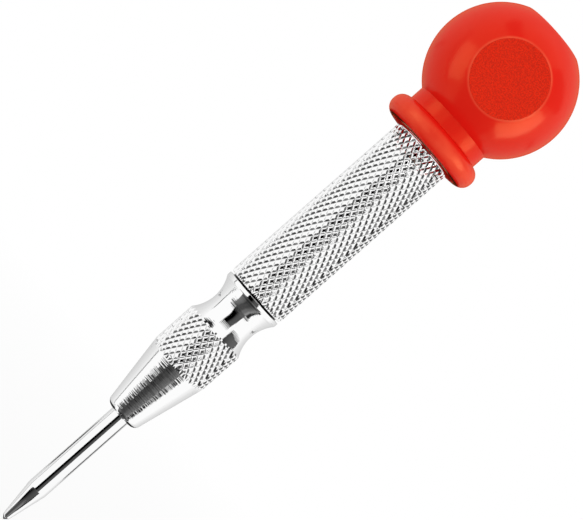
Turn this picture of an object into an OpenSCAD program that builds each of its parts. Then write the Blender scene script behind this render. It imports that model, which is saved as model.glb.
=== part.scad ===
// Automatic center punch with a ball handle.
// The tool's axis is Z. The tip of the point is the origin and the handle is on top.
// Threads are left as plain cylinders with a small gap.

/* [Point] */
// Diameter of the point
point_d = 4; // [3.2:0.1:4.8]
// Length of the point in front of the nose
point_reach = 27.9; // [20:0.1:32]
// Length of the tapered tip
taper_len = 8.2; // [5:0.1:10]
// Diameter at the small end of the taper
tip_d = 1.5; // [0.8:0.1:1.8]
// Included angle of the short end of the tip
tip_angle = 90; // [60:5:120]
// Height of the collar that keeps the point in the nose
collar_h = 2.5; // [1.5:0.1:4]

/* [Nose] */
// Length of the cone
cone_len = 14.2; // [10:0.1:18]
// Diameter of the front end of the cone
cone_d = 7; // [6.8:0.1:9]
// Round on the front end of the cone
cone_round = 1.4; // [0.3:0.1:1.5]
// Length of the knurled band
band_len = 8.2; // [5:0.1:12]
// Length of the waist
waist_len = 8.5; // [7:0.1:12]
// Smallest diameter of the waist
waist_d = 9.8; // [9:0.1:11]
// Length of the lip behind the waist
lip_len = 0.8; // [0.6:0.05:3]
// Width of the groove between nose and barrel
groove_w = 0.35; // [0.2:0.05:0.8]
// Depth of that groove
groove_depth = 0.8; // [0.3:0.05:0.9]
// Length of the bore that guides the point
guide_len = 6; // [4:0.5:9]
// Diameter of the chamber of the return spring
chamber_d = 6.6; // [6:0.1:7]
// Length of the screwed end in the barrel
spigot_len = 6; // [5:0.1:9]

/* [Barrel] */
// Diameter of the knurled barrel
barrel_d = 12.65; // [12.2:0.05:15]
// Length of the knurled grip
grip_len = 39.35; // [34:0.05:50]
// Chamfer on the front edge of the barrel
barrel_chamfer = 0.25; // [0.1:0.05:0.5]
// Diameter of the bore that guides the hammer
bore_d = 8.6; // [8:0.1:9]
// Diameter of the plain tail inside the handle
tail_d = 12; // [11.6:0.1:12.1]
// Length of that tail
tail_len = 8.5; // [7:0.1:12]
// Length of the thread in the tail
tail_thread_len = 12; // [9:0.5:16]

/* [Handle] */
// Diameter of the ball
ball_d = 28; // [26:0.1:34]
// Height of the ball's centre over the flange's lower face
ball_rise = 18.4; // [16.5:0.1:22]
// Distance of the end flat from the ball's centre
end_flat = 12.35; // [11.2:0.05:12.8]
// Distance of the side flats from the ball's centre
side_flat = 12; // [10.5:0.05:12.8]
// Width of the bevel round each flat
flat_bevel = 0.5; // [0.2:0.05:1]
// Diameter of the neck
neck_d = 16.6; // [15.6:0.1:20]
// Diameter of the flange
flange_d = 20.7; // [20:0.1:26]
// Height of the straight edge between the flange's rounds
flange_edge = 0.3; // [0.1:0.1:2]
// Radius of the round over and under the flange's edge
flange_round = 2.05; // [1:0.05:2.2]
// Diameter of the recess under the flange
recess_d = 16; // [15:0.1:16.4]
// Depth of that recess
recess_depth = 2.2; // [1:0.1:3]

/* [Release] */
// Travel of the point until the hammer is let go
stroke = 9; // [6:0.5:10]
// Sideways shift of the release block over that travel
trip_shift = 0.9; // [0.7:0.05:1]
// Diameter of the drive pin's stem
stem_d = 2.4; // [2:0.1:2.6]
// Height of the drive pin's head
head_h = 2; // [1.2:0.1:3]
// Length of the bush that guides the stem
bush_len = 5; // [3:0.1:5.5]
// Length of the hammer
hammer_len = 18; // [17:0.5:20]
// Thickness of the hammer below the release block
hammer_lip = 2; // [1.5:0.1:3]
// Width of the release block
block_w = 4.2; // [3.8:0.1:5]
// Height of the release block
block_h = 3.4; // [2.6:0.1:4]
// Wall of the release block behind its hole
block_wall = 0.7; // [0.5:0.05:0.9]
// Wall of the hammer behind the block's spring
slot_wall = 0.85; // [0.6:0.05:1]
// Diameter of the keeper pin
keeper_d = 1; // [0.8:0.05:1.1]
// Depth of the keeper pin above the block
keeper_grip = 1.5; // [1:0.1:3]

/* [Springs] */
// Wire of the main spring
main_wire = 1.2; // [0.8:0.05:1.3]
// Outside diameter of the main spring
main_d = 7; // [6.4:0.1:7.2]
// Coils of the main spring
main_coils = 11; // [8:1:12]
// Wire of the return spring
return_wire = 0.5; // [0.4:0.05:0.7]
// Outside diameter of the return spring at the point
return_d = 5.8; // [5:0.1:5.9]
// Outside diameter of the return spring at the bush
return_small_d = 5; // [4.4:0.1:5.8]
// Coils of the return spring
return_coils = 12; // [8:1:14]
// Wire of the block spring
block_wire = 0.2; // [0.15:0.05:0.25]
// Outside diameter of the block spring
block_spring_d = 2; // [1.6:0.1:2.4]
// Coils of the block spring
block_coils = 3; // [2:1:3]

/* [Adjuster] */
// Diameter of the adjusting screw
screw_d = 10; // [9.6:0.1:10.4]
// Wall of the adjusting screw
screw_wall = 1.3; // [1:0.05:1.4]
// Pitch of its thread
screw_pitch = 1; // [0.75:0.25:1.25]
// Turns of the handle each way
screw_turns = 2; // [1:1:2]
// Width across the flats of the screw's head
screw_head_w = 11.5; // [11:0.1:12.5]
// Height of the screw's head
screw_head_h = 4.5; // [3.5:0.1:6]
// Thickness of the screw's closed end
screw_end = 2; // [1:0.1:2.5]
// Thickness of the spring seat
seat_h = 1; // [0.6:0.1:2]

/* [Fits] */
// Radial gap of a sliding fit
slide_fit = 0.05; // [0.03:0.01:0.1]
// Gap of a pressed, moulded or screwed fit
fixed_fit = 0.02; // [0.01:0.01:0.05]
// Radial gap round what only passes through
pass_gap = 0.2; // [0.15:0.05:0.3]
// Gap between handle and barrel
handle_gap = 0.3; // [0.2:0.05:0.5]
// Free play between the stem and the block
free_play = 0.1; // [0.05:0.05:0.3]

/* [Hidden] */
$fn = 96;

// How far a cut runs past the face that it opens
cut = 1;

// Heights from the tip up
tip_h = tip_d / 2 / tan(tip_angle / 2);
nose_z = point_reach;
step_z = nose_z + guide_len;
collar_z = step_z + collar_h;
head_z = collar_z + head_h;
band_z = nose_z + cone_len;
waist_z = band_z + band_len;
lip_z = waist_z + waist_len;
groove_z = lip_z + lip_len;
barrel_z = groove_z + groove_w;
spigot_z = barrel_z + spigot_len;
bush_z = spigot_z - bush_len;
block_z = spigot_z + hammer_lip + slide_fit;
block_top_z = block_z + block_h;
bore_z = block_top_z + stroke;
hammer_top_z = spigot_z + hammer_len;
grip_end_z = barrel_z + grip_len;
flange_z = grip_end_z + handle_gap;
ball_z = flange_z + ball_rise;
tail_z = flange_z + tail_len;
thread_z = tail_z - tail_thread_len;
screw_travel = screw_pitch * screw_turns;
screw_z = thread_z + screw_travel + handle_gap;
socket_z = tail_z + screw_travel + handle_gap;
screw_top_z = socket_z + screw_head_h;
screw_bore_z = screw_top_z - screw_end;
seat_z = screw_bore_z - seat_h;

// Diameters and lengths that follow from the fits
nose_d = barrel_d - 2 * slide_fit;
front_bore_d = bore_d + 2 * trip_shift;
spigot_d = front_bore_d - 2 * fixed_fit;
groove_d = nose_d - 2 * groove_depth;
bush_ledge = 0.5;
bush_d = chamber_d + 2 * bush_ledge;
collar_d = chamber_d - 2 * pass_gap;
hammer_d = bore_d - 2 * slide_fit;
stem_hole_d = stem_d + 2 * pass_gap;
hole_depth = hammer_lip + slide_fit + stroke - free_play;
block_back = stem_hole_d / 2 + block_wall;
slot_back = hammer_d / 2 - slot_wall;
slot_h = block_h + 2 * slide_fit;
keeper_x = hammer_d / 2 - keeper_d;
keeper_top_z = block_top_z + keeper_grip;
keeper_slot_w = keeper_d + 2 * free_play;
screw_bore_d = screw_d - 2 * screw_wall;
screw_head_d = screw_head_w / cos(30);
seat_d = screw_bore_d - 2 * pass_gap;
socket_d = barrel_d + 2 * handle_gap;
ball_r = ball_d / 2;

// Spigot on the hammer that centres the main spring
pilot_d = main_d - 2 * main_wire - 2 * pass_gap;
pilot_h = 2 * main_wire;

// Cove of the waist: an arc through both of its ends and its smallest diameter
cove_depth = (nose_d - waist_d) / 2;
cove_r = (pow(waist_len / 2, 2) + pow(cove_depth, 2)) / (2 * cove_depth);

// Wire coils: rings in a turn and sides of a ring
coil_rings = 8;
coil_sides = 6;

// Centre of the wire at an angle along a coil that may taper
function coil_centre(a, turns, r0, r1, rise) =
    let (k = a / (360 * turns), r = r0 + (r1 - r0) * k)
    [r * cos(a), r * sin(a), rise * k];

// One ring of points round the wire, square to its path
function coil_ring(c, a, lead, wire) = [
    for (s = [0 : coil_sides - 1])
        let (p = 360 * s / coil_sides, out = wire / 2 * cos(p), up = wire / 2 * sin(p))
        c + [out * cos(a) + up * sin(lead) * sin(a), out * sin(a) - up * sin(lead) * cos(a), up * cos(lead)]
];

// Least free gap between the turns of a coil
function coil_gap(centres, wire) = min([
    for (i = [0 : len(centres) - 1])
        for (j = [i + coil_rings / 2 : 1 : len(centres) - 1])
            norm(centres[j] - centres[i]) - wire
]);

// Round wire coiled about Z between two heights, as one unbroken tube
module coil(name, d0, d1, wire, turns, low, high) {
    r0 = (d0 - wire) / 2;
    r1 = (d1 - wire) / 2;
    rise = high - low - wire - 2 * fixed_fit;
    lead = atan(rise / turns / (PI * (r0 + r1)));
    count = turns * coil_rings;
    angles = [for (i = [0 : count]) 360 * i / coil_rings];
    centres = [for (a = angles) coil_centre(a, turns, r0, r1, rise)];
    points = [for (i = [0 : count]) each coil_ring(centres[i], angles[i], lead, wire)];
    walls = [
        for (i = [0 : count - 1])
            for (s = [0 : coil_sides - 1])
                let (t = (s + 1) % coil_sides, a = i * coil_sides, b = a + coil_sides)
                each [[a + s, a + t, b + t], [a + s, b + t, b + s]]
    ];
    last = count * coil_sides;
    caps = [for (s = [1 : coil_sides - 2]) each [[0, s + 1, s], [last, last + s, last + s + 1]]];
    echo(str(name, " least gap between turns, mm: ", coil_gap(centres, wire)));
    translate([0, 0, low + wire / 2 + fixed_fit])
        polyhedron(points, concat(walls, caps), convexity = turns);
}

// Bar of a given diameter between two heights
module rod(d, low, high) {
    translate([0, 0, low])
        cylinder(d = d, h = high - low);
}

// Body that cuts a ball flat on top, with a bevel round the flat
module flat_trim(h) {
    bevel = acos(h / ball_r) / 2;
    flat_r = sqrt(ball_r * ball_r - h * h) - flat_bevel;
    drop = h + ball_d;
    translate([0, 0, h - drop])
        cylinder(r1 = flat_r + drop / tan(bevel), r2 = flat_r, h = drop);
}

// Hexagon of the screw's head, grown by a gap all round
module screw_head(gap) {
    translate([0, 0, socket_z])
        cylinder(d = screw_head_d + 2 * gap / cos(30), h = screw_head_h + gap, $fn = 6);
}

// Half outline of the handle's flange and neck
module handle_base_outline() {
    hub = flange_d / 2 - flange_round;
    square([hub, 2 * flange_round + flange_edge]);
    translate([0, flange_round])
        square([flange_d / 2, flange_edge]);
    for (z = [flange_round, flange_round + flange_edge])
        translate([hub, z])
            circle(flange_round);
    square([neck_d / 2, ball_rise]);
}

// Red moulded handle
module ball_handle() {
    color("#df3a27")
        difference() {
            union() {
                translate([0, 0, ball_z])
                    intersection() {
                        sphere(d = ball_d);
                        flat_trim(end_flat);
                        rotate([90, 0, 0]) flat_trim(side_flat);
                        rotate([-90, 0, 0]) flat_trim(side_flat);
                    }
                translate([0, 0, flange_z])
                    rotate_extrude()
                        handle_base_outline();
            }
            rod(recess_d, flange_z - cut, flange_z + recess_depth);
            rod(socket_d, flange_z - cut, socket_z);
            screw_head(fixed_fit);
        }
}

// Hollow screw whose hexagon head is moulded into the handle
module adjusting_screw() {
    color("#b9bcc0")
        difference() {
            union() {
                rod(screw_d, screw_z, socket_z + cut);
                screw_head(0);
            }
            rod(screw_bore_d, screw_z - cut, screw_bore_z);
        }
}

// Thrust disc between the screw and the main spring
module spring_seat() {
    color("#8d9094")
        rod(seat_d, seat_z, screw_bore_z);
}

// Spring that drives the hammer
module main_spring() {
    color("#6f7277")
        coil("main_spring", main_d, main_d, main_wire, main_coils, hammer_top_z, seat_z);
}

// Knurled tube with the bore that guides the hammer and the taper that trips the block
module barrel() {
    color("#d5d7da")
        difference() {
            union() {
                rod(barrel_d, barrel_z + barrel_chamfer, grip_end_z);
                translate([0, 0, barrel_z])
                    cylinder(d1 = barrel_d - 2 * barrel_chamfer, d2 = barrel_d, h = barrel_chamfer);
                rod(tail_d, grip_end_z - cut, tail_z);
            }
            rod(front_bore_d, barrel_z - cut, block_top_z);
            translate([0, 0, block_top_z])
                cylinder(d1 = front_bore_d, d2 = bore_d, h = stroke);
            rod(bore_d, bore_z, tail_z + cut);
            rod(screw_d + 2 * slide_fit, thread_z, tail_z + cut);
        }
}

// Half outline of the nose, from its front end to the end of its lip
module nose_outline() {
    slope = atan((nose_d - cone_d) / 2 / cone_len);
    turn = 90 - slope;
    steps = 6;
    round_r = cone_d / 2 - cone_round * (1 - sin(slope)) / cos(slope);
    round_arc = [
        for (i = [0 : steps])
            let (a = -90 + turn * i / steps)
            [round_r + cone_round * cos(a), nose_z + cone_round + cone_round * sin(a)]
    ];
    difference() {
        polygon(concat([[0, nose_z]], round_arc, [[nose_d / 2, band_z], [nose_d / 2, groove_z], [0, groove_z]]));
        translate([waist_d / 2 + cove_r, waist_z + waist_len / 2])
            circle(cove_r, $fn = 180);
    }
}

// Front piece: cone, knurled band, waist, lip and screwed spigot
module nose() {
    color("#dcdee0")
        difference() {
            union() {
                rotate_extrude() nose_outline();
                rod(groove_d, groove_z - cut, barrel_z);
                rod(spigot_d, barrel_z, spigot_z);
            }
            rod(point_d + 2 * slide_fit, nose_z - cut, step_z + cut);
            rod(chamber_d, step_z, spigot_z + cut);
            rod(bush_d, bush_z, spigot_z + cut);
        }
}

// Bush in the back of the nose: guide of the stem and seat of the return spring
module guide_bush() {
    color("#b8934a")
        difference() {
            rod(bush_d - 2 * fixed_fit, bush_z, spigot_z);
            rod(stem_d + 2 * slide_fit, bush_z - cut, spigot_z + cut);
        }
}

// Slug with a cross slot for the release block and a blind hole for the stem
module hammer() {
    color("#7d8085")
        difference() {
            union() {
                rod(hammer_d, spigot_z, hammer_top_z);
                rod(pilot_d, hammer_top_z - cut, hammer_top_z + pilot_h);
            }
            rod(stem_hole_d, spigot_z - cut, spigot_z + hole_depth);
            translate([-slot_back, -block_w / 2 - slide_fit, spigot_z + hammer_lip])
                cube([slot_back + hammer_d, block_w + 2 * slide_fit, slot_h]);
            translate([keeper_x, 0, 0])
                rod(keeper_d + 2 * fixed_fit, spigot_z - cut, keeper_top_z);
        }
}

// Cross block whose hole stands beside the stem until the taper pushes it in line
module release_block() {
    color("#a4a7ab")
        translate([trip_shift, 0, 0])
            difference() {
                intersection() {
                    rod(hammer_d, block_z, block_top_z);
                    translate([-block_back, -block_w / 2, block_z - cut])
                        cube([block_back + hammer_d, block_w, block_h + 2 * cut]);
                }
                rod(stem_hole_d, block_z - cut, block_top_z + cut);
                for (x = [keeper_x - trip_shift, keeper_x])
                    translate([x, 0, 0])
                        rod(keeper_slot_w, block_z - cut, block_top_z + cut);
                translate([keeper_x - trip_shift, -keeper_slot_w / 2, block_z - cut])
                    cube([trip_shift, keeper_slot_w, block_h + 2 * cut]);
            }
}

// Small spring that pushes the release block off the stem's axis
module block_spring() {
    color("#6f7277")
        translate([0, 0, block_z + block_h / 2])
            rotate([0, 90, 0])
                coil("block_spring", block_spring_d, block_spring_d, block_wire, block_coils,
                     -slot_back, trip_shift - block_back);
}

// Pin that keeps the release block in its slot
module keeper_pin() {
    color("#9a9da1")
        translate([keeper_x, 0, 0])
            rod(keeper_d, spigot_z + free_play, keeper_top_z);
}

// Spring that pushes the point out of the nose
module return_spring() {
    color("#6f7277")
        coil("return_spring", return_d, return_small_d, return_wire, return_coils, head_z, bush_z);
}

// Stem that carries the push of the point to the release block
module drive_pin() {
    color("#95989c")
        union() {
            rod(collar_d, collar_z, head_z);
            rod(stem_d, collar_z, block_z - free_play);
        }
}

// Hardened point with a tapered tip and a collar inside the nose
module punch_point() {
    color("#e3e4e6")
        union() {
            cylinder(d1 = 0, d2 = tip_d, h = tip_h);
            translate([0, 0, tip_h])
                cylinder(d1 = tip_d, d2 = point_d, h = taper_len - tip_h);
            rod(point_d, taper_len, step_z + cut);
            rod(collar_d, step_z, collar_z);
        }
}

ball_handle();
adjusting_screw();
spring_seat();
main_spring();
barrel();
nose();
guide_bush();
hammer();
release_block();
block_spring();
keeper_pin();
return_spring();
drive_pin();
punch_point();
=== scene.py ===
"""Automatic center punch: a knurled chrome barrel and nose, a moulded ball handle, a ground point and the wound springs
and turned pieces inside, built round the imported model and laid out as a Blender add-on."""

import math

import bpy
import numpy as np
from bpy.props import FloatProperty, FloatVectorProperty, IntProperty, PointerProperty
from mathutils import Matrix, Vector


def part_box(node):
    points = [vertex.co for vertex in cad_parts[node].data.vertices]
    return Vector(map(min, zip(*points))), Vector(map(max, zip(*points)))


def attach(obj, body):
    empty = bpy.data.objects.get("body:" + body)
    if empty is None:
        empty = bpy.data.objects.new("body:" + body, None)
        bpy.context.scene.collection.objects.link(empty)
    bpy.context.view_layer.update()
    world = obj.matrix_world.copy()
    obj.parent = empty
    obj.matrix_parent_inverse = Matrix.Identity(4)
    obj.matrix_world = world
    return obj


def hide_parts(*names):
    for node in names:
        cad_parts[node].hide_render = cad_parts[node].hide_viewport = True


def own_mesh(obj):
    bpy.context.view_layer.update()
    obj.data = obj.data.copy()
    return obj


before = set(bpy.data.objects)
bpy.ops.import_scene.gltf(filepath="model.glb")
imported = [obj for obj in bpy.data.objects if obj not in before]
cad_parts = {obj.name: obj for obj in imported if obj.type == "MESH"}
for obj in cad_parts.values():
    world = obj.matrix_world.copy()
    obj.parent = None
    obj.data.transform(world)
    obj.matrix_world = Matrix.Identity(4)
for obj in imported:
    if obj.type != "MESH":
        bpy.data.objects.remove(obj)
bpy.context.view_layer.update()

bl_info = {
    "name": "Automatic Center Punch",
    "version": (1, 0, 0),
    "blender": (4, 5, 0),
    "location": "3D View > Sidebar > Punch",
    "description": "Dresses the packed punch with knurled chrome, moulded plastic and wound springs",
    "category": "Object",
}

# Lengths are in metres, and heights are above the tip of the point. MM turns the drawing's millimetres into metres.
MM = 0.001


def linear(code):
    """An sRGB hex colour as the linear colour that shaders use."""
    parts = [int(code[i:i + 2], 16) / 255 for i in (1, 3, 5)]
    return tuple(p / 12.92 if p <= 0.04045 else ((p + 0.055) / 1.055) ** 2.4 for p in parts)


def reach(node):
    """Lowest height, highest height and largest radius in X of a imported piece."""
    low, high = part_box(node)
    return low.z, high.z, high.x


BARREL_FRONT, BARREL_BACK, BARREL_RADIUS = reach("barrel")
NOSE_FRONT, NOSE_BACK, NOSE_RADIUS = reach("nose")
POINT_BACK, COLLAR_RADIUS = reach("punch_point")[1:]
HANDLE_FRONT, HANDLE_BACK, BALL_RADIUS = reach("ball_handle")
SIDE_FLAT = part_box("ball_handle")[1].y


class KnurlSettings(bpy.types.PropertyGroup):
    starts: IntProperty(
        name="Starts", description="Grooves of each hand round the barrel", default=32, min=16, max=48)
    pitch: FloatProperty(
        name="Axial pitch", description="Length of one diamond along the axis",
        default=1.97 * MM, min=1 * MM, max=4 * MM, unit="LENGTH", precision=5)
    depth: FloatProperty(
        name="Depth", description="Depth of the grooves", default=0.22 * MM, min=0.05 * MM, max=0.5 * MM,
        unit="LENGTH", precision=5)
    land: FloatProperty(
        name="Land", description="Share of each diamond that stays flat on top", default=0.45, min=0.1, max=0.8,
        subtype="FACTOR")


class HandleSettings(bpy.types.PropertyGroup):
    colour: FloatVectorProperty(
        name="Plastic", description="Colour of the moulded plastic", default=linear("#e92019"), min=0, max=1,
        subtype="COLOR")
    edge: FloatProperty(
        name="Edge rounding", description="Radius round the rims of the three flats", default=0.8 * MM,
        min=0.2 * MM, max=3 * MM, unit="LENGTH", precision=5)
    grain: FloatProperty(
        name="Grain", description="Size of the grain on the flats", default=0.26 * MM, min=0.1 * MM, max=1 * MM,
        unit="LENGTH", precision=5)


class MetalSettings(bpy.types.PropertyGroup):
    chrome: FloatVectorProperty(
        name="Chrome", description="Colour of the chrome plate", default=linear("#fcfcfc"), min=0, max=1,
        subtype="COLOR")
    point: FloatVectorProperty(
        name="Point", description="Colour of the ground point", default=linear("#fafafa"), min=0, max=1,
        subtype="COLOR")
    steel: FloatVectorProperty(
        name="Steel", description="Colour of the turned pieces inside", default=linear("#b4b6b8"), min=0, max=1,
        subtype="COLOR")
    wire: FloatVectorProperty(
        name="Wire", description="Colour of the spring wire", default=linear("#8f8b84"), min=0, max=1,
        subtype="COLOR")
    brass: FloatVectorProperty(
        name="Brass", description="Colour of the guide bush", default=linear("#c9a35a"), min=0, max=1,
        subtype="COLOR")


class StageSettings(bpy.types.PropertyGroup):
    distance: FloatProperty(
        name="Camera distance", description="From the camera to the punch's axis", default=0.415, min=0.2, max=2,
        unit="LENGTH")
    height: FloatProperty(
        name="Camera height", description="Height on the punch that the camera aims at", default=69.0 * MM,
        unit="LENGTH", precision=4)
    aside: FloatProperty(
        name="Aim aside", description="How far beside the axis the camera aims", default=-0.64 * MM,
        unit="LENGTH", precision=4)
    azimuth: FloatProperty(
        name="Azimuth", description="Turn of the camera round the punch", default=math.radians(-4.3),
        subtype="ANGLE")
    lean: FloatProperty(
        name="Lean", description="Angle of the punch above the picture's lower edge",
        default=math.radians(41.37), subtype="ANGLE")
    width: FloatProperty(
        name="View width", description="Width of the picture at the punch's axis", default=103.8 * MM,
        unit="LENGTH", precision=4)
    floor: FloatVectorProperty(
        name="Floor", description="Colour of the floor", default=linear("#d6d6d5"), min=0, max=1, subtype="COLOR")
    card: FloatVectorProperty(
        name="Dark cards", description="Colour of the dark cards that the chrome mirrors",
        default=linear("#5a5a5a"), min=0, max=1, subtype="COLOR")
    backdrop: FloatVectorProperty(
        name="Backdrop", description="Colour of the backdrop that shows along the chrome's outlines",
        default=linear("#d8d8d8"), min=0, max=1, subtype="COLOR")
    ambient: FloatProperty(
        name="Ambient", description="Level of the light from all round", default=1.08, min=0, max=2)
    panel: FloatProperty(
        name="Panel", description="Brightness of the panels that the ball mirrors, where 1 is white", default=2.0,
        min=0, max=10)
    softbox: FloatProperty(
        name="Softbox", description="Brightness of the softbox on the right, where 1 is white", default=1.2, min=0,
        max=10)


def settings(group):
    return getattr(bpy.context.scene, "punch_" + group)


class Skin:
    """Points and faces of one closed surface of rings round the Z axis. Rings follow each other from the inside of
    the piece to its outside, so that every face looks outward."""

    def __init__(self):
        self.points, self.marks, self.faces = [], [], []

    def ring(self, angles, radius, height, mark=0.0):
        """A ring of points, with a radius, a height and a mark that are one number or one for each angle."""
        first = len(self.points)
        radius, height, mark = (np.broadcast_to(v, angles.shape) for v in (radius, height, mark))
        self.points += zip(radius * np.cos(angles), radius * np.sin(angles), height)
        self.marks += mark.tolist()
        return list(range(first, len(self.points)))

    def pole(self, height, mark=0.0):
        """A point on the axis."""
        self.points.append((0, 0, height))
        self.marks.append(mark)
        return [len(self.points) - 1]

    def join(self, *rings):
        """Faces from each ring to the next."""
        for low, high in zip(rings, rings[1:]):
            for k in range(max(len(low), len(high))):
                corners = [low[k % len(low)], low[(k + 1) % len(low)], high[(k + 1) % len(high)], high[k % len(high)]]
                self.faces.append(tuple(dict.fromkeys(corners)))

    def turn(self, angles, outline, mark=lambda r, z: 0.0):
        """Rings along an outline of (radius, height), joined to each other, with marks from their places."""
        rings = [self.ring(angles, r, z, mark(r, z)) if r > 0 else self.pole(z) for r, z in outline]
        self.join(*rings)
        return rings

    def piece(self, name, finish, crease, mark=None):
        """The surface as an object, with edges sharper than crease left sharp."""
        mesh = bpy.data.meshes.new(name)
        mesh.from_pydata([tuple(map(float, p)) for p in self.points], [], self.faces)
        if mark:
            values = mesh.attributes.new(mark, "FLOAT", "POINT")
            values.data.foreach_set("value", np.array(self.marks, np.float32))
        mesh.shade_smooth()
        mesh.set_sharp_from_angle(angle=math.radians(crease))
        mesh.materials.append(finish)
        piece = bpy.data.objects.new(name, mesh)
        bpy.context.scene.collection.objects.link(piece)
        return piece


def even(count):
    """Evenly spaced angles of a ring."""
    return np.arange(count) * (2 * math.pi / count)


def eased(corners, steps=4):
    """An outline through corners of (radius, height, rounding), with a short curve at each rounded corner."""
    outline = []
    for i, (r, z, rounding) in enumerate(corners):
        corner = np.array((r, z))
        if not rounding:
            outline.append((r, z))
            continue
        before, after = (np.array(corners[k][:2]) - corner for k in (i - 1, i + 1))
        start, end = (corner + side / np.linalg.norm(side) * rounding for side in (before, after))
        for s in np.linspace(0, 1, steps + 1):
            outline.append(tuple((1 - s) ** 2 * start + 2 * s * (1 - s) * corner + s * s * end))
    return outline


def knurl_angles(knurl):
    """Angles of a ring that passes through the grooves and both sides of the lands of a knurl."""
    step = math.pi / knurl.starts
    sides = (0, 1 - knurl.land, 1 + knurl.land)
    return np.array([step * (2 * k + side) for k in range(knurl.starts) for side in sides])


# Marks of painted shade, with some oily residue: 0 on a land and 1 halfway along a groove of a knurl. It is thinner
# where grooves cross, and darkest in the joint of nose and barrel.
CROSSING = 0.5
JOINT = 1.8


def cut_knurl(skin, knurl, low, high, top):
    """A diamond knurl from one height to another. Grooves of both hands cross at lattice points and each diamond
    between them rises to a flat land, whose radius at a height is top(height). Returns the first and last rings."""
    rows = 2 * round((high - low) / knurl.pitch)
    rise = (high - low) / rows
    columns = 2 * knurl.starts
    step = math.pi / knurl.starts
    floor = max(top(low + rise * i) for i in range(rows + 1)) - knurl.depth

    def spot(row, column, land):
        height = low + rise * row
        radius = top(height) if land else min(floor, top(height))
        angle = step * column
        skin.points.append((radius * math.cos(angle), radius * math.sin(angle), height))
        skin.marks.append(0.0 if land else CROSSING)
        return len(skin.points) - 1

    def side(start, end, far, near):
        """The side of a diamond, from the groove between two crossings up to two corners of the land."""
        ends = min(start, end), max(start, end)
        if ends not in grooves:
            grooves[ends] = len(skin.points)
            skin.points.append(tuple(np.mean([skin.points[k] for k in ends], 0)))
            skin.marks.append(1.0)
        middle = grooves[ends]
        skin.faces += [(start, middle, near), (middle, far, near), (middle, end, far)]

    grooves = {}
    deep = {(i, j): spot(i, j, False) for i in range(rows + 1) for j in range(i % 2, columns, 2)}
    ends = {0: [], rows: []}
    for i in range(rows + 1):
        for j in range(1 - i % 2, columns, 2):
            left, right = deep[i, (j - 1) % columns], deep[i, (j + 1) % columns]
            near, far = spot(i, j - knurl.land, True), spot(i, j + knurl.land, True)
            land = [near, far]
            if i > 0:
                below, foot = deep[i - 1, j], spot(i - knurl.land, j, True)
                side(left, below, foot, near)
                side(below, right, far, foot)
                land.insert(1, foot)
            if i < rows:
                above, head = deep[i + 1, j], spot(i + knurl.land, j, True)
                side(right, above, head, far)
                side(above, left, near, head)
                land.append(head)
            skin.faces.append(tuple(land))
            if i in ends:
                ends[i] += [left, near, far]
    return ends[0], ends[rows]


def fit(piece, body, slot, *nodes):
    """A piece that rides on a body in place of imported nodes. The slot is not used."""
    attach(piece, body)
    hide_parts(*nodes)
    return piece


def finish(name):
    """A new material, with its node tree and its shader."""
    material = bpy.data.materials.new(name)
    material.use_nodes = True
    return material, material.node_tree, material.node_tree.nodes["Principled BSDF"]


def plug(tree, node, links):
    """Outputs of other nodes linked to a node's sockets, and constants set on them."""
    for key, value in links.items():
        if isinstance(value, bpy.types.NodeSocket):
            tree.links.new(value, node.inputs[key])
        else:
            node.inputs[key].default_value = value


def add(tree, kind, links, **values):
    """A new node with its settings and what its sockets take."""
    node = tree.nodes.new(kind)
    for key, value in values.items():
        setattr(node, key, value)
    plug(tree, node, links)
    return node.outputs


def per(size):
    """Scale of a pattern whose features are this far apart."""
    return 1 / size


def tool_rings(tree, spacing, detail, depth):
    """Fine rings that a tool leaves round the axis: the place on the piece, their pattern and their relief."""
    place = add(tree, "ShaderNodeTexCoord", {})["Object"]
    along = add(tree, "ShaderNodeSeparateXYZ", {"Vector": place})["Z"]
    lines = add(tree, "ShaderNodeTexNoise", {"W": along, "Scale": per(spacing), "Detail": detail},
                noise_dimensions="1D")[0]
    relief = add(tree, "ShaderNodeBump", {"Height": lines, "Strength": 1.0, "Distance": depth})["Normal"]
    return place, lines, relief


def chrome_plate():
    # Chrome plated on turned steel: a nearly white mirror. Lathe lines under the plate comb the edges of what it
    # reflects, and painted shade, with some residue that polishing can't reach, darkens the floors of the knurl and the
    # joint.
    material, tree, shader = finish("Chrome plate on turned steel")
    # Lathe lines are about 0.08 mm apart, too fine for the picture, so they are drawn 0.25 mm apart
    place, _, relief = tool_rings(tree, 0.25 * MM, 1.0, 0.018 * MM)
    groove = add(tree, "ShaderNodeAttribute", {}, attribute_name="groove")["Fac"]
    depth = add(tree, "ShaderNodeMapRange", {"Value": groove, "From Min": CROSSING, "From Max": JOINT})[0]
    chrome, residue_and_shade = ((*colour, 1) for colour in (settings("metal").chrome, linear("#0a0a0a")))
    # The floors of the grooves and the joint are painted dark: painted shade, with some residue in the knurl
    colour = add(tree, "ShaderNodeMix", {0: depth, 6: chrome, 7: residue_and_shade}, data_type="RGBA")[2]
    haze = add(tree, "ShaderNodeTexNoise", {"Vector": place, "Scale": per(3 * MM), "Detail": 3.0})[0]
    rough = add(tree, "ShaderNodeMapRange", {"Value": haze, "From Min": 0.3, "From Max": 0.7, "To Min": 0.03,
                                             "To Max": 0.07})[0]
    plug(tree, shader, {"Base Color": colour, "Metallic": 1.0, "Roughness": rough, "Normal": relief})
    return material


def ground_steel():
    # Hardened tool steel, ground between centres and polished: a grey mirror with fine rings from the wheel
    material, tree, shader = finish("Ground and polished tool steel")
    # Grit lines are about 0.03 mm apart, too fine for the picture, so they are drawn 0.2 mm apart
    _, lines, relief = tool_rings(tree, 0.2 * MM, 2.0, 0.0008 * MM)
    rough = add(tree, "ShaderNodeMapRange", {"Value": lines, "From Min": 0.3, "From Max": 0.7, "To Min": 0.02,
                                             "To Max": 0.06})[0]
    plug(tree, shader, {"Base Color": (*settings("metal").point, 1), "Metallic": 1.0, "Roughness": rough,
                        "Normal": relief})
    return material
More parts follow.
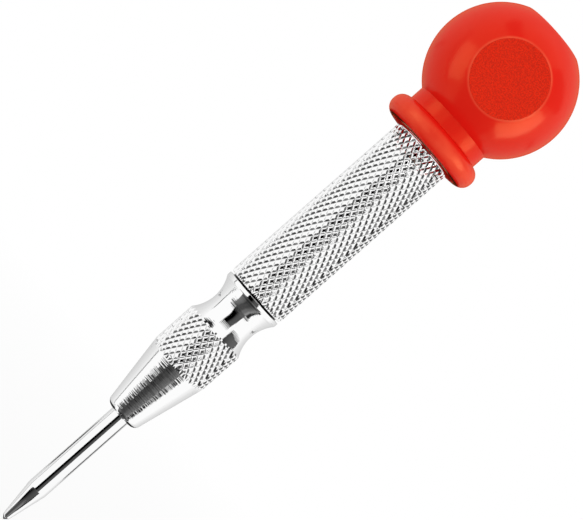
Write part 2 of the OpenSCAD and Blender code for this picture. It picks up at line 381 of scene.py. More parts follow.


# How far inside the rim of a flat its matt grain is full, and how far outside the rim its paler painted highlight
# starts and is full. The flange is marked in the same measure, for the painted highlight along its edge: at its widest
# it counts as this far outside a rim, and inward from there as further out by this share of the way.
GRAIN_FULL = 0.12 * MM
RIM_HIGHLIGHT_STARTS = -0.4 * MM
RIM_HIGHLIGHT_FULL = -0.05 * MM
FLANGE_HIGHLIGHT = -0.12 * MM
FLANGE_HIGHLIGHT_FADE = 0.4
# Downward lean of a surface, as the Z of its normal, at which the painted shade under the flange starts and is full
UNDER_SHADE_STARTS = -0.88
UNDER_SHADE_FULL = -0.97


def moulded_plastic():
    # Red ABS, injection moulded: a glossy skin with faint ripples from the polished mould, and a fine matt grain on
    # the three flats, where the mould's inserts were spark eroded; the grain's lighter specks are painted glints. The
    # rims of the flats and the edge of the flange carry a paler painted highlight, and faces that look down, under the
    # flange, are painted dark as painted shade. The coat is the clear outer skin, which is faintly warm, has no gloss
    # of its own and keeps the ball's outline red. It is rough, because the exported model can't hold its IOR and shows
    # it as a gloss.
    material, tree, shader = finish("Red ABS, injection moulded")
    handle = settings("handle")
    spot = add(tree, "ShaderNodeTexCoord", {})
    place = spot["Object"]
    facing = add(tree, "ShaderNodeSeparateXYZ", {"Vector": spot["Normal"]})["Z"]
    # Faces that look down, as under the flange, are painted dark: painted shade
    under = add(tree, "ShaderNodeMapRange", {"Value": facing, "From Min": UNDER_SHADE_STARTS, "From Max": UNDER_SHADE_FULL})[0]
    cloud = add(tree, "ShaderNodeTexNoise", {"Vector": place, "Scale": per(5 * MM), "Detail": 3.0})[0]
    inside = add(tree, "ShaderNodeAttribute", {}, attribute_name="inside_rim")["Fac"]
    flat = add(tree, "ShaderNodeMapRange", {"Value": inside, "From Min": 0.0, "From Max": GRAIN_FULL})[0]
    # A band round the rims of the flats and along the flange's edge is painted paler: a painted highlight
    near = add(tree, "ShaderNodeMapRange", {"Value": inside, "From Min": RIM_HIGHLIGHT_STARTS, "From Max": RIM_HIGHLIGHT_FULL})[0]
    rim = add(tree, "ShaderNodeMath", {0: near, 1: flat}, operation="SUBTRACT")[0]
    rim_highlight = add(tree, "ShaderNodeMath", {0: rim, 1: cloud}, operation="MULTIPLY")[0]
    # Spark-eroded grain is about 0.1 mm across, too fine for the picture, so the settings make it coarser
    grit = add(tree, "ShaderNodeTexNoise", {"Vector": place, "Scale": per(handle.grain), "Detail": 2.0})[0]
    ripple = add(tree, "ShaderNodeTexNoise", {"Vector": place, "Scale": per(1.8 * MM), "Detail": 1.0})[0]
    # The flats' grain has a darker tone of its own, and its lighter specks are painted glints
    specks = add(tree, "ShaderNodeMapRange", {"Value": grit, "From Min": 0.38, "From Max": 0.62})[0]
    red, deep, dull = ((*(c * share for c in handle.colour), 1) for share in (1, 0.93, 0.76))
    bright, pale, under_shade = ((*linear(code), 1) for code in ("#ee2412", "#f8664a", "#240a06"))
    colour = add(tree, "ShaderNodeMix", {0: cloud, 6: deep, 7: red}, data_type="RGBA")[2]
    matt = add(tree, "ShaderNodeMix", {0: specks, 6: dull, 7: bright}, data_type="RGBA")[2]
    for share, other in ((flat, matt), (rim_highlight, pale), (under, under_shade)):
        colour = add(tree, "ShaderNodeMix", {0: share, 6: colour, 7: other}, data_type="RGBA")[2]
    grain = add(tree, "ShaderNodeMath", {0: grit, 1: flat}, operation="MULTIPLY")[0]
    skin = add(tree, "ShaderNodeBump", {"Height": ripple, "Strength": 1.0, "Distance": 0.012 * MM})["Normal"]
    relief = add(tree, "ShaderNodeBump", {"Height": grain, "Strength": 1.0, "Distance": 0.12 * MM,
                                          "Normal": skin})["Normal"]
    rough = add(tree, "ShaderNodeMapRange", {"Value": flat, "To Min": 0.21, "To Max": 0.36})[0]
    plug(tree, shader, {"Base Color": colour, "Roughness": rough, "IOR": 1.36,
                        "Specular Tint": (*linear("#ffe08c"), 1), "Coat Weight": 1.0, "Coat IOR": 1.0,
                        "Coat Roughness": 0.4, "Coat Tint": (*linear("#fff2e8"), 1), "Normal": relief})
    return material


def turned_steel():
    # Free-cutting steel, turned and left bare: grey and satin, with rings from the lathe tool and a film of oil
    material, tree, shader = finish("Turned steel, oiled")
    place, _, relief = tool_rings(tree, 0.15 * MM, 2.0, 0.003 * MM)
    film = add(tree, "ShaderNodeTexNoise", {"Vector": place, "Scale": per(2 * MM), "Detail": 4.0})[0]
    rough = add(tree, "ShaderNodeMapRange", {"Value": film, "From Min": 0.3, "From Max": 0.7, "To Min": 0.2,
                                             "To Max": 0.38})[0]
    plug(tree, shader, {"Base Color": (*settings("metal").steel, 1), "Metallic": 1.0, "Roughness": rough,
                        "Normal": relief})
    return material


def spring_wire():
    # Oil-tempered spring wire, drawn: a dull brownish grey with streaks along the wire
    material, tree, shader = finish("Oil-tempered spring wire")
    place = add(tree, "ShaderNodeTexCoord", {})["Object"]
    streak = add(tree, "ShaderNodeTexNoise", {"Vector": place, "Scale": per(0.6 * MM), "Detail": 3.0})[0]
    wire, dark = ((*(c * share for c in settings("metal").wire), 1) for share in (1, 0.7))
    colour = add(tree, "ShaderNodeMix", {0: streak, 6: dark, 7: wire}, data_type="RGBA")[2]
    rough = add(tree, "ShaderNodeMapRange", {"Value": streak, "To Min": 0.25, "To Max": 0.45})[0]
    plug(tree, shader, {"Base Color": colour, "Metallic": 1.0, "Roughness": rough})
    return material


def bush_brass():
    # Leaded brass, turned: warm yellow and satin, with fine rings from the lathe tool
    material, tree, shader = finish("Turned brass")
    _, lines, relief = tool_rings(tree, 0.15 * MM, 2.0, 0.002 * MM)
    rough = add(tree, "ShaderNodeMapRange", {"Value": lines, "To Min": 0.15, "To Max": 0.35})[0]
    plug(tree, shader, {"Base Color": (*settings("metal").brass, 1), "Metallic": 1.0, "Roughness": rough,
                        "Normal": relief})
    return material


FINISHES = {}


def finish_of(maker):
    """A material that is made once and then shared."""
    if maker not in FINISHES:
        FINISHES[maker] = maker()
    return FINISHES[maker]


# Cosines of the angle to a flat's axis: the least that is divided by, and the one that keeps to that flat's own side
LEAST_COSINE = 1e-6
NEAR_FLAT = 0.5


def rounded_ball(directions, edge):
    """Distance from the ball's centre to its surface along unit directions, and how far each place lies inside the rim
    of a flat. The sides and the end are cut flat, and the rim of each flat is rounded."""
    flats = (((0, 1, 0), SIDE_FLAT), ((0, -1, 0), SIDE_FLAT), ((0, 0, 1), HANDLE_BACK - BALL_HEIGHT))
    distance = np.full(len(directions), BALL_RADIUS)
    inside = np.full(len(directions), -BALL_RADIUS)
    core = BALL_RADIUS - edge
    for axis, height in flats:
        cosine = np.clip(directions @ np.array(axis), LEAST_COSINE, 1)
        sine = np.sqrt(1 - cosine ** 2)
        lift = height - edge
        rim = math.sqrt(core ** 2 - lift ** 2)
        middle = lift * cosine + rim * sine
        curve = middle + np.sqrt(np.maximum(middle ** 2 - core ** 2 + edge ** 2, 0))
        on_flat = sine * height <= rim * cosine
        on_rim = ~on_flat & (cosine * core > lift)
        distance = np.where(on_flat, height / cosine, np.where(on_rim, curve, distance))
        from_rim = math.sqrt(BALL_RADIUS ** 2 - height ** 2) - distance * sine
        inside = np.maximum(inside, np.where(cosine > NEAR_FLAT, from_rim, -BALL_RADIUS))
    return distance, inside


# The handle: its ball, neck, flange, recess for the barrel, socket and pocket, the rounding of its corners, and how
# finely it is drawn
BALL_HEIGHT = 118 * MM
NECK_RADIUS = 8.3 * MM
FLANGE_RADIUS = 10.35 * MM
FLANGE_EDGE = 0.3 * MM
FLANGE_ROUND = 2.05 * MM
RECESS_RADIUS = 8 * MM
RECESS_DEPTH = 2.2 * MM
SOCKET_RADIUS = 6.625 * MM
SOCKET_TOP = 110.4 * MM
POCKET_TOP = 114.92 * MM
POCKET_WIDTH = 11.54 * MM
POCKET_GAP = 0.005 * MM
NECK_FLARE = 0.35 * MM
NECK_ROUND = 0.3 * MM
SOCKET_ROUND = 0.2 * MM
RECESS_ROUND = 0.4 * MM
MOUTH_ROUND = 0.15 * MM
HANDLE_SIDES = 320
BALL_ROWS = 182
ROUND_ROWS = 18
NECK_ROWS = 6


class PUNCH_OT_handle(bpy.types.Operator):
    """Moulded ball handle with its neck, flange, recess, socket and the pocket of the screw's head"""
    bl_idname = "punch.handle"
    bl_label = "Ball Handle"

    def execute(self, context):
        edge = settings("handle").edge
        angles = even(HANDLE_SIDES)
        skin = Skin()
        hexagon = POCKET_WIDTH / 2 / np.cos((angles + math.pi / 6) % (math.pi / 3) - math.pi / 6)
        hexagon = np.minimum(hexagon, SOCKET_RADIUS - POCKET_GAP)
        off = -BALL_RADIUS
        socket = [skin.pole(POCKET_TOP, off), skin.ring(angles, hexagon, POCKET_TOP, off),
                  skin.ring(angles, hexagon, SOCKET_TOP, off)]
        lowest = HANDLE_FRONT
        hub = FLANGE_RADIUS - FLANGE_ROUND
        lower, upper = lowest + FLANGE_ROUND, lowest + FLANGE_ROUND + FLANGE_EDGE
        meet = math.acos((NECK_RADIUS + NECK_FLARE - hub) / FLANGE_ROUND)
        base = eased([
            (SOCKET_RADIUS, SOCKET_TOP, 0),
            (SOCKET_RADIUS, lowest + RECESS_DEPTH, SOCKET_ROUND),
            (RECESS_RADIUS, lowest + RECESS_DEPTH, RECESS_ROUND),
            (RECESS_RADIUS, lowest, MOUTH_ROUND),
            (hub, lowest, 0),
        ], steps=5)
        for middle, tilts in ((lower, np.linspace(-math.pi / 2, 0, ROUND_ROWS)[1:]),
                              (upper, np.linspace(0, meet, ROUND_ROWS))):
            base += [(hub + FLANGE_ROUND * math.cos(a), middle + FLANGE_ROUND * math.sin(a)) for a in tilts]
        base_end = BALL_HEIGHT - math.sqrt(BALL_RADIUS ** 2 - NECK_RADIUS ** 2)
        base += eased([
            base[-1] + (0,),
            (NECK_RADIUS, upper + FLANGE_ROUND * math.sin(meet), NECK_ROUND),
            (NECK_RADIUS, base_end, 0),
        ])[1:-1]
        base += [(NECK_RADIUS, z) for z in np.linspace(base[-1][1], base_end, NECK_ROWS)[1:]]
        # The flange's rings are marked for the painted highlight along its edge
        rings = socket + [skin.ring(angles, r, z, FLANGE_HIGHLIGHT - FLANGE_HIGHLIGHT_FADE * (FLANGE_RADIUS - r))
                          for r, z in base]
        first = math.asin(NECK_RADIUS / BALL_RADIUS)
        for polar in np.linspace(first, math.pi, BALL_ROWS)[1:-1]:
            way = np.stack([math.sin(polar) * np.cos(angles), math.sin(polar) * np.sin(angles),
                            np.full_like(angles, -math.cos(polar))], 1)
            distance, inside = rounded_ball(way, edge)
            rings.append(skin.ring(angles, distance * math.sin(polar),
                                   BALL_HEIGHT - distance * math.cos(polar), inside))
        rings.append(skin.pole(HANDLE_BACK, BALL_RADIUS))
        skin.join(*rings)
        piece = skin.piece("moulded_handle", finish_of(moulded_plastic), crease=40, mark="inside_rim")
        fit(piece, "handle", "red_plastic", "ball_handle")
        return {"FINISHED"}


# The barrel: its bores, the cone that trips the release block, the end of its grip, its tail and its edges
FRONT_BORE = 5.2 * MM
HAMMER_BORE = 4.3 * MM
TRIP_LOW = 71.4 * MM
TRIP_HIGH = 80.4 * MM
THREAD_LOW = 96.1 * MM
THREAD_BORE = 5.05 * MM
GRIP_END = 99.3 * MM
TAIL_RADIUS = 6 * MM
BARREL_CHAMFER = 0.25 * MM
TAIL_ROUND = 0.3 * MM


class PUNCH_OT_barrel(bpy.types.Operator):
    """Knurled barrel with the tapered bore that trips the release block"""
    bl_idname = "punch.barrel"
    bl_label = "Knurled Barrel"

    def execute(self, context):
        knurl = settings("knurl")
        angles = knurl_angles(knurl)
        skin = Skin()
        bore = [(THREAD_BORE, THREAD_LOW), (HAMMER_BORE, THREAD_LOW), (HAMMER_BORE, TRIP_HIGH), (FRONT_BORE, TRIP_LOW),
                (FRONT_BORE, BARREL_FRONT)]
        inside = skin.turn(angles, bore, lambda r, z: JOINT * (z == BARREL_FRONT))
        front, back = cut_knurl(
            skin, knurl, BARREL_FRONT, GRIP_END,
            lambda z: min(BARREL_RADIUS, BARREL_RADIUS - BARREL_CHAMFER + z - BARREL_FRONT))
        tail = skin.turn(angles, eased([
            (TAIL_RADIUS, GRIP_END, 0), (TAIL_RADIUS, BARREL_BACK, TAIL_ROUND), (THREAD_BORE, BARREL_BACK, 0)]))
        skin.join(inside[-1], front)
        skin.join(back, *tail[:1])
        skin.join(tail[-1], inside[0])
        piece = skin.piece("knurled_barrel", finish_of(chrome_plate), crease=12, mark="groove")
        fit(piece, "barrel", "chromed_steel", "barrel")
        return {"FINISHED"}


# The nose: its cone, knurled band, waist, lip, spigot and bores, its edges, and how finely it is drawn
CONE_RADIUS = 3.5 * MM
CONE_ROUND = 1.4 * MM
BAND_LOW = 42.1 * MM
BAND_HIGH = 50.3 * MM
LIP_LOW = 58.8 * MM
LIP_HIGH = 59.6 * MM
WAIST_RADIUS = 4.9 * MM
GROOVE_RADIUS = 5.475 * MM
SPIGOT_RADIUS = 5.18 * MM
POINT_BORE = 2.05 * MM
CHAMBER_RADIUS = 3.3 * MM
CHAMBER_LOW = 33.9 * MM
BUSH_BORE = 3.8 * MM
BUSH_LOW = 60.95 * MM
BORE_CHAMFER = 0.15 * MM
LIP_ROUND = 0.12 * MM
SPIGOT_ROUND = 0.3 * MM
ARC_ROWS = 14
CONE_ROWS = 12
WAIST_ROWS = 49


class PUNCH_OT_nose(bpy.types.Operator):
    """Nose with its cone, knurled band, waist, lip and screwed spigot"""
    bl_idname = "punch.nose"
    bl_label = "Knurled Nose"

    def execute(self, context):
        knurl = settings("knurl")
        angles = knurl_angles(knurl)
        skin = Skin()
        slope = math.atan((NOSE_RADIUS - CONE_RADIUS) / (BAND_LOW - NOSE_FRONT))
        inside = skin.turn(angles, [
            (BUSH_BORE, BUSH_LOW), (CHAMBER_RADIUS, BUSH_LOW), (CHAMBER_RADIUS, CHAMBER_LOW),
            (POINT_BORE, CHAMBER_LOW), (POINT_BORE, NOSE_FRONT + BORE_CHAMFER),
            (POINT_BORE + BORE_CHAMFER, NOSE_FRONT)])

        def cone(z):
            return min(NOSE_RADIUS, CONE_RADIUS + (z - NOSE_FRONT) * math.tan(slope))

        # The knurl runs out on the cone, where the cone's surface meets the floors of the grooves
        run_out = BAND_LOW - knurl.depth / math.tan(slope)
        centre = CONE_RADIUS - CONE_ROUND * (1 - math.sin(slope)) / math.cos(slope)
        arc = [(centre + CONE_ROUND * math.cos(a), NOSE_FRONT + CONE_ROUND + CONE_ROUND * math.sin(a))
               for a in np.linspace(-math.pi / 2, -slope, ARC_ROWS)]
        cone_part = arc + [(cone(z), z) for z in np.linspace(arc[-1][1], run_out, CONE_ROWS)[1:]]
        cone_rings = skin.turn(angles, cone_part)
        front, back = cut_knurl(skin, knurl, run_out, BAND_HIGH, cone)
        half, depth = (LIP_LOW - BAND_HIGH) / 2, NOSE_RADIUS - WAIST_RADIUS
        sweep = (half ** 2 + depth ** 2) / (2 * depth)
        waist = [(WAIST_RADIUS + sweep - math.sqrt(sweep ** 2 - z * z), BAND_HIGH + half + z)
                 for z in np.linspace(-half, half, WAIST_ROWS)]
        waist = [(r, z) for r, z in waist if r < NOSE_RADIUS - knurl.depth or z > BAND_HIGH + half]
        back_part = waist[:-1] + eased([
            waist[-2] + (0,), (NOSE_RADIUS, LIP_LOW, LIP_ROUND), (NOSE_RADIUS, LIP_HIGH, LIP_ROUND),
            (GROOVE_RADIUS, LIP_HIGH, 0), (GROOVE_RADIUS, BARREL_FRONT, 0), (SPIGOT_RADIUS, BARREL_FRONT, 0),
            (SPIGOT_RADIUS, NOSE_BACK, SPIGOT_ROUND), (BUSH_BORE, NOSE_BACK, 0)])[1:]
        back_rings = skin.turn(angles, back_part, lambda r, z: JOINT * (r <= GROOVE_RADIUS and z >= LIP_HIGH))
        skin.join(inside[-1], cone_rings[0])
        skin.join(cone_rings[-1], front)
        skin.join(back, back_rings[0])
        skin.join(back_rings[-1], inside[0])
        piece = skin.piece("knurled_nose", finish_of(chrome_plate), crease=12, mark="groove")
        fit(piece, "barrel", "chromed_steel", "nose")
        return {"FINISHED"}


# The point: its shank, blunt tip, taper, the step up to its collar, and its edges
POINT_RADIUS = 2 * MM
TIP_RADIUS = 0.75 * MM
TAPER_END = 8.2 * MM
POINT_STEP = 33.9 * MM
TIP_ROUND = 0.12 * MM
POINT_ROUND = 0.2 * MM
POINT_SIDES = 96


class PUNCH_OT_point(bpy.types.Operator):
    """Ground point with its tapered tip and the collar that the nose keeps in"""
    bl_idname = "punch.point"
    bl_label = "Ground Point"

    def execute(self, context):
        skin = Skin()
        outline = eased([
            (0, 0, 0), (TIP_RADIUS, TIP_RADIUS, TIP_ROUND), (POINT_RADIUS, TAPER_END, POINT_ROUND),
            (POINT_RADIUS, POINT_STEP, 0), (COLLAR_RADIUS, POINT_STEP, POINT_ROUND),
            (COLLAR_RADIUS, POINT_BACK, POINT_ROUND), (0, POINT_BACK, 0)])
        skin.turn(even(POINT_SIDES), outline)
        piece = skin.piece("ground_point", finish_of(ground_steel), crease=20)
        fit(piece, "punch", "point_steel", "punch_point")
        return {"FINISHED"}


# How far the main spring reaches into the hammer, and where the block's spring starts and ends across the hammer
MAIN_SPRING_SEAT = 2.4 * MM
BLOCK_SPRING_START = -3.4 * MM
BLOCK_SPRING_END = -1.2 * MM
# Wire, first and last outer radius and number of coils of each spring
MAIN_WINDING = (1.2 * MM, 3.5 * MM, 3.5 * MM, 11)
RETURN_WINDING = (0.5 * MM, 2.9 * MM, 2.5 * MM, 12)
BLOCK_WINDING = (0.2 * MM, 1 * MM, 1 * MM, 3)
WIRE_SIDES = 10
COIL_STEPS = 24
# Pitch of a closed end turn, as a share of the pitch of a working one, and the room at both ends, in wires
CLOSED_PITCH = 0.6
WIRE_ROOM = 1.03


class PUNCH_OT_springs(bpy.types.Operator):
    """The main, return and block springs, wound with closed ends"""
    bl_idname = "punch.springs"
    bl_label = "Wound Springs"

    def wind(self, name, winding, low, high, across=False):
        """Round wire wound between two heights, or along X, with its end turns closed up."""
        wire, first, last, coils = winding
        count = coils * COIL_STEPS
        turn = np.linspace(0, coils, count + 1)
        closed = np.clip(np.minimum(turn, coils - turn), 0, 1)
        pitch = CLOSED_PITCH + (1 - CLOSED_PITCH) * closed * closed * (3 - 2 * closed)
        climb = np.concatenate([[0], np.cumsum((pitch[1:] + pitch[:-1]) / 2)])
        climb *= (high - low - wire * WIRE_ROOM) / climb[-1]
        radius = np.linspace(first, last, count + 1) - wire / 2
        angle = 2 * math.pi * turn
        middle = np.stack([radius * np.cos(angle), radius * np.sin(angle), low + wire * WIRE_ROOM / 2 + climb], 1)
        along = np.gradient(middle, axis=0)
        along /= np.linalg.norm(along, axis=1)[:, None]
        out = np.stack([np.cos(angle), np.sin(angle), np.zeros_like(angle)], 1)
        up = np.cross(along, out)
        skin = Skin()
        rings = []
        for centre, o, u in zip(middle, out, up):
            rings.append(list(range(len(skin.points), len(skin.points) + WIRE_SIDES)))
            for a in even(WIRE_SIDES):
                point = centre + wire / 2 * (math.cos(a) * o + math.sin(a) * u)
                skin.points.append((point[2], point[1], -point[0]) if across else tuple(point))
        skin.join(*rings)
        skin.faces += [tuple(reversed(rings[0])), tuple(rings[-1])]
        return skin.piece(name, finish_of(spring_wire), crease=40)

    def execute(self, context):
        low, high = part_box("hammer")[1].z - MAIN_SPRING_SEAT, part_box("spring_seat")[0].z
        main = self.wind("main_coil", MAIN_WINDING, low, high)
        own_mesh(fit(main, "spring_seat", "spring_wire", "main_spring"))
        low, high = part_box("return_spring")[0].z, BUSH_LOW
        back = self.wind("return_coil", RETURN_WINDING, low, high)
        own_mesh(fit(back, "barrel", "spring_wire", "return_spring"))
        start, end = BLOCK_SPRING_START, BLOCK_SPRING_END
        middle = sum(corner.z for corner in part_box("block_spring")) / 2
        small = self.wind("block_coil", BLOCK_WINDING, start, end, across=True)
        small.data.transform(Matrix.Translation((0, 0, middle)))
        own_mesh(fit(small, "hammer", "spring_wire", "block_spring"))
        return {"FINISHED"}


INNER_FINISHES = {
    "adjusting_screw": turned_steel,
    "spring_seat": turned_steel,
    "hammer": turned_steel,
    "release_block": turned_steel,
    "keeper_pin": turned_steel,
    "drive_pin": turned_steel,
    "guide_bush": bush_brass,
}


class PUNCH_OT_inner(bpy.types.Operator):
    """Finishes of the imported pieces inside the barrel, nose and handle"""
    bl_idname = "punch.inner"
    bl_label = "Inner Pieces"

    def execute(self, context):
        for name, maker in INNER_FINISHES.items():
            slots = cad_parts[name].data.materials
            slots.clear()
            slots.append(finish_of(maker))
        return {"FINISHED"}


# What the chrome and the ball mirror, as plain sheets far away. Each has rows of (elevation, leftmost azimuth,
# rightmost azimuth, brightness), with angles in degrees seen from the punch, where azimuth 0 is the camera's, and its
# brightness across, as (share of its width, level).
LOW_CARD = (
    (-89, -180, 180, 0.3), (-75, -150, 180, 0.3), (-66, -64, 150, 0.5), (-60, -54, 110, 0.8), (-54, -48, 88, 1),
    (-46, -44, 60, 1), (-36, -46, 52, 1), (-33, -60, 54, 1), (-30, -62, 55, 1), (-27, -42, 55, 1), (-22.5, -41, 57, 1))
LOW_TONES = (
    (0, 2.0), (0.06, 1.7), (0.15, 1.4), (0.24, 1.0), (0.29, 0.4), (0.33, 0.75), (0.43, 0.55), (0.52, 0.75), (0.6, 1.4),
    (0.69, 1.3), (0.78, 2.8), (0.83, 2.2), (0.87, 0.3), (1, 0.2))
STEM = ((-22.5, -24, 34, 1), (-8, -17, 31, 1), (0, -16, 31, 1), (10, -18, 27, 1), (25, -20, 24, 1))
STEM_TONES = (
    (0, 0.05), (0.15, 0.0), (0.38, 0.0), (0.46, 0.3), (0.55, 0.55), (0.75, 0.8), (0.9, 0.8), (0.95, 0.5), (1, 0.4))
RIGHT_CARD = ((19, 46, 108, 1), (25, 44, 112, 1), (40, 46, 108, 1), (50, 48, 104, 0.8), (60, 52, 98, 0.4))
RIGHT_TONES = ((0, 0.2), (0.1, 0.7), (0.5, 1.0), (0.9, 1.2), (1, 0.4))
LEFT_CARD = ((46, -84, -40, 1), (52, -98, -28, 1), (58, -103, -25, 1), (63, -104, -24, 1))
SHADE = ((-60, 115, 245, 1), (-28, 150, 210, 1), (-14, 166, 194, 1), (-5, 174, 186, 1))
DARK_TONES = ((0, 0.2), (1, 0.2))
LEFT_EDGE = ((-9.2, -140, -116, 0.4), (-7.8, -140, -116, 0.4), (-7.2, -136, -120, 1.5))
RIGHT_EDGE = ((-9.2, 116, 140, 1), (-7, 116, 140, 1), (-6.4, 120, 136, 2))
LEFT_LINE = ((-50, -93, -88, 2), (-12, -93, -88.5, 2), (0, -91, -86.5, 2), (14, -89, -85, 3))
EVEN_TONES = ((0, 1), (1, 1))
TIP_CARD = ((-29.6, -50, 58, 1), (-27.8, -52, 62, 1), (-25.8, -54, 64, 1))
TIP_TONES = ((0, 0), (0.16, 0.02), (0.28, 0.2), (0.42, 0.5), (0.62, 0.7), (0.82, 0.8), (0.91, 0.4), (1, 0.25))
BACKDROP = ((-60, 100, 275, 1), (-20, 100, 275, 1), (20, 100, 275, 1), (70, 104, 270, 1))
BACKDROP_TONES = ((0, 1.45), (0.15, 1.15), (0.35, 0.95), (0.5, 0.9), (0.65, 0.98), (0.85, 1.15), (1, 1.4))
CARD_DISTANCE = 3.0
TIP_CARD_DISTANCE = 2.9
BACKDROP_DISTANCE = 3.5
CARD_COLUMNS = 25
# The dark sheets, with their distances: the card under the camera with its stem up past it, those above on the right
# and on the left, what is under and behind the punch, three thin edges, and what the tip mirrors
DARK_CARDS = {
    "Dark card below": (LOW_CARD, LOW_TONES, CARD_DISTANCE),
    "Stem of the dark card": (STEM, STEM_TONES, CARD_DISTANCE),
    "Dark card on the right": (RIGHT_CARD, RIGHT_TONES, CARD_DISTANCE),
    "Dark card on the left": (LEFT_CARD, DARK_TONES, CARD_DISTANCE),
    "Shade behind": (SHADE, DARK_TONES, CARD_DISTANCE),
    "Edge on the left": (LEFT_EDGE, EVEN_TONES, CARD_DISTANCE),
    "Edge on the right": (RIGHT_EDGE, EVEN_TONES, CARD_DISTANCE),
    "Upright edge on the left": (LEFT_LINE, EVEN_TONES, CARD_DISTANCE),
    "Shade under the tip": (TIP_CARD, TIP_TONES, TIP_CARD_DISTANCE),
}
# Places, aims and sizes of the lights: one that lights the punch, and two that only show mirrored in the ball
SOFTBOX = ((0.22, -0.04, 0.075), (0, 0, 0.09), (0.14, 0.14))
RIGHT_PANEL = ((0.017, -0.014, 0.1105), (0.0075, -0.011, 0.114), (0.009, 0.021))
LEFT_PANEL = ((-0.0188, -0.0145, 0.1095), (-0.008, -0.0105, 0.114), (0.009, 0.018))
LEFT_PANEL_SHARE = 0.45
PANEL_SPREAD = math.radians(120)
# Half the side of the floor, the radius from which it shows as plain white, and the share of white under the punch,
# where the rest takes the shadow
FLOOR_SIDE = 1.5
FLOOR_WHITE_FROM = 0.4
FLOOR_WHITE_LEAST = 0.85


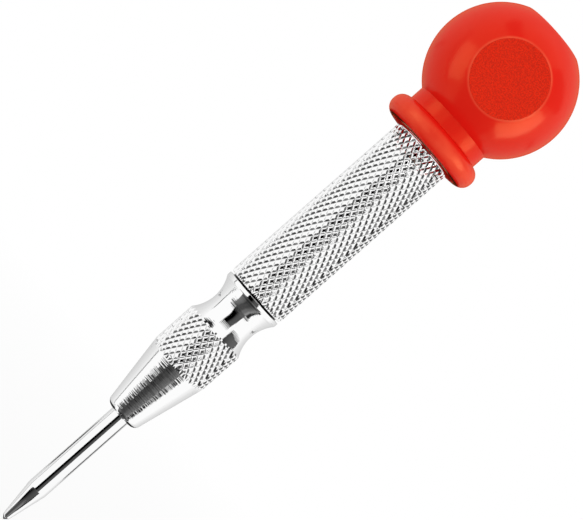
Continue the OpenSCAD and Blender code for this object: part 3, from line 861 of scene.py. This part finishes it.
class PUNCH_OT_stage(bpy.types.Operator):
    """Floor, world, what the chrome mirrors, lights and camera"""
    bl_idname = "punch.stage"
    bl_label = "Stage"

    def background_rays(self, tree):
        """1 for a ray that shows the background: straight to the camera, in a reflection or through glass."""
        path = add(tree, "ShaderNodeLightPath", {})
        seen = add(tree, "ShaderNodeMath", {0: path["Is Camera Ray"], 1: path["Is Glossy Ray"]}, operation="MAXIMUM")[0]
        return add(tree, "ShaderNodeMath", {0: seen, 1: path["Is Transmission Ray"]}, operation="MAXIMUM")[0]

    def world(self, stage):
        world = bpy.data.worlds.new("Plain studio")
        world.use_nodes = True
        tree = world.node_tree
        level = add(tree, "ShaderNodeMapRange", {"Value": self.background_rays(tree), "To Min": stage.ambient,
                                                 "To Max": 1.0})[0]
        tree.links.new(level, tree.nodes["Background"].inputs["Strength"])
        tree.nodes["Background"].inputs["Color"].default_value = (1, 1, 1, 1)
        bpy.context.scene.world = world

    def sheet(self, name, points, faces, material):
        mesh = bpy.data.meshes.new(name)
        mesh.from_pydata(points, [], faces)
        mesh.materials.append(material)
        sheet = bpy.data.objects.new(name, mesh)
        bpy.context.scene.collection.objects.link(sheet)
        return sheet

    def floor(self, stage):
        # Pale paper lit to white: most of it shows as plain white, and the rest takes the object's soft shadow
        material, tree, shader = finish("Pale studio paper")
        plug(tree, shader, {"Base Color": (*stage.floor, 1), "Roughness": 0.9, "Specular IOR Level": 0.0})
        glow = add(tree, "ShaderNodeEmission", {"Color": (1, 1, 1, 1), "Strength": 1.0})[0]
        place = add(tree, "ShaderNodeTexCoord", {})["Object"]
        away = add(tree, "ShaderNodeVectorMath", {0: place}, operation="LENGTH")["Value"]
        white = add(tree, "ShaderNodeMapRange", {"Value": away, "From Max": FLOOR_WHITE_FROM,
                                                 "To Min": FLOOR_WHITE_LEAST})[0]
        share = add(tree, "ShaderNodeMath", {0: self.background_rays(tree), 1: white}, operation="MULTIPLY")[0]
        mixed = add(tree, "ShaderNodeMixShader", {0: share, 1: shader.outputs[0], 2: glow})[0]
        tree.links.new(mixed, tree.nodes["Material Output"].inputs["Surface"])
        corners = [(FLOOR_SIDE * x, FLOOR_SIDE * y, 0) for x, y in ((-1, -1), (1, -1), (1, 1), (-1, 1))]
        floor = self.sheet("floor", corners, [(0, 1, 2, 3)], material)
        floor.visible_glossy = False

    def mirrored(self, name, rows, tones, far, colour):
        """A sheet far away that only shows in reflections, from rows of directions and tones across them."""
        stage = settings("stage")
        shares, steps = np.array(tones).T
        fine = np.unique(np.concatenate([shares, np.linspace(0, 1, CARD_COLUMNS)]))
        points, levels = [], []
        for elevation, left, right, bright in rows:
            up = math.radians(elevation)
            for share, step in zip(fine, np.interp(fine, shares, steps)):
                turn = math.radians(left + (right - left) * share) + stage.azimuth
                points.append((far * math.cos(up) * math.sin(turn), -far * math.cos(up) * math.cos(turn),
                               stage.height + far * math.sin(up)))
                levels.append(step * bright)
        material, tree, shader = finish(name)
        level = add(tree, "ShaderNodeAttribute", {}, attribute_name="level")["Fac"]
        plug(tree, shader, {"Base Color": (0, 0, 0, 1), "Roughness": 1.0, "Specular IOR Level": 0.0,
                            "Emission Color": (*colour, 1), "Emission Strength": level})
        columns = len(fine)
        faces = [(k, k + 1, k + columns + 1, k + columns) for first in range(0, len(points) - columns, columns)
                 for k in range(first, first + columns - 1)]
        sheet = self.sheet(name, points, faces, material)
        values = sheet.data.attributes.new("level", "FLOAT", "POINT")
        values.data.foreach_set("value", np.array(levels, np.float32))
        sheet.visible_camera = sheet.visible_diffuse = sheet.visible_shadow = sheet.visible_transmission = False

    def softbox(self, name, place, aim, size, level, spread=math.pi, mirrored=False):
        """A soft light of a given brightness, which either lights the punch or only shows mirrored in it."""
        lamp = bpy.data.lights.new(name, "AREA")
        lamp.shape = "RECTANGLE"
        lamp.size, lamp.size_y = size
        lamp.energy = level * math.pi * size[0] * size[1]
        light = bpy.data.objects.new(name, lamp)
        light.location = place
        light.rotation_euler = (Vector(aim) - Vector(place)).to_track_quat("-Z", "Y").to_euler()
        lamp.spread = spread
        light.visible_camera = False
        light.visible_diffuse, light.visible_glossy = not mirrored, mirrored
        bpy.context.scene.collection.objects.link(light)

    def camera(self, stage):
        lens = bpy.data.cameras.new("camera")
        lens.sensor_fit = "HORIZONTAL"
        lens.lens = lens.sensor_width * stage.distance / stage.width
        lens.clip_start, lens.clip_end = 0.01, 10
        across = Vector((math.cos(stage.azimuth), math.sin(stage.azimuth), 0))
        upward = Vector((0, 0, 1))
        right = math.sin(stage.lean) * across + math.cos(stage.lean) * upward
        top = math.sin(stage.lean) * upward - math.cos(stage.lean) * across
        back = right.cross(top)
        place = stage.aside * across + stage.height * upward + stage.distance * back
        camera = bpy.data.objects.new("camera", lens)
        camera.matrix_world = Matrix.Translation(place) @ Matrix((right, top, back)).transposed().to_4x4()
        bpy.context.scene.collection.objects.link(camera)
        bpy.context.scene.camera = camera

    def execute(self, context):
        stage = settings("stage")
        self.world(stage)
        self.floor(stage)
        for name, card in DARK_CARDS.items():
            self.mirrored(name, *card, stage.card)
        self.mirrored("Grey backdrop", BACKDROP, BACKDROP_TONES, BACKDROP_DISTANCE, stage.backdrop)
        self.softbox("softbox", *SOFTBOX, stage.softbox)
        self.softbox("ball_softbox", *RIGHT_PANEL, stage.panel, PANEL_SPREAD, mirrored=True)
        self.softbox("left_softbox", *LEFT_PANEL, stage.panel * LEFT_PANEL_SHARE, PANEL_SPREAD, mirrored=True)
        self.camera(stage)
        context.scene.view_settings.view_transform = "Standard"
        return {"FINISHED"}


class PUNCH_PT_panel(bpy.types.Panel):
    """Settings and pieces of the punch"""
    bl_idname = "PUNCH_PT_panel"
    bl_label = "Center Punch"
    bl_space_type = "VIEW_3D"
    bl_region_type = "UI"
    bl_category = "Punch"

    def draw(self, context):
        for group in GROUPS:
            box = self.layout.box()
            for name in GROUPS[group].__annotations__:
                box.prop(settings(group), name)
        for operator in OPERATORS:
            self.layout.operator(operator.bl_idname)


GROUPS = {"knurl": KnurlSettings, "handle": HandleSettings, "metal": MetalSettings, "stage": StageSettings}
OPERATORS = (PUNCH_OT_stage, PUNCH_OT_handle, PUNCH_OT_barrel, PUNCH_OT_nose, PUNCH_OT_point, PUNCH_OT_springs,
             PUNCH_OT_inner)


def register():
    for kind in (*GROUPS.values(), *OPERATORS, PUNCH_PT_panel):
        bpy.utils.register_class(kind)
    for group, kind in GROUPS.items():
        setattr(bpy.types.Scene, "punch_" + group, PointerProperty(type=kind))


def unregister():
    for group in GROUPS:
        delattr(bpy.types.Scene, "punch_" + group)
    for kind in (PUNCH_PT_panel, *reversed(OPERATORS), *GROUPS.values()):
        bpy.utils.unregister_class(kind)


def main():
    register()
    bpy.ops.punch.stage()
    bpy.ops.punch.handle()
    bpy.ops.punch.barrel()
    bpy.ops.punch.nose()
    bpy.ops.punch.point()
    bpy.ops.punch.springs()
    bpy.ops.punch.inner()
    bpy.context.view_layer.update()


if __name__ == "__main__":
    main()
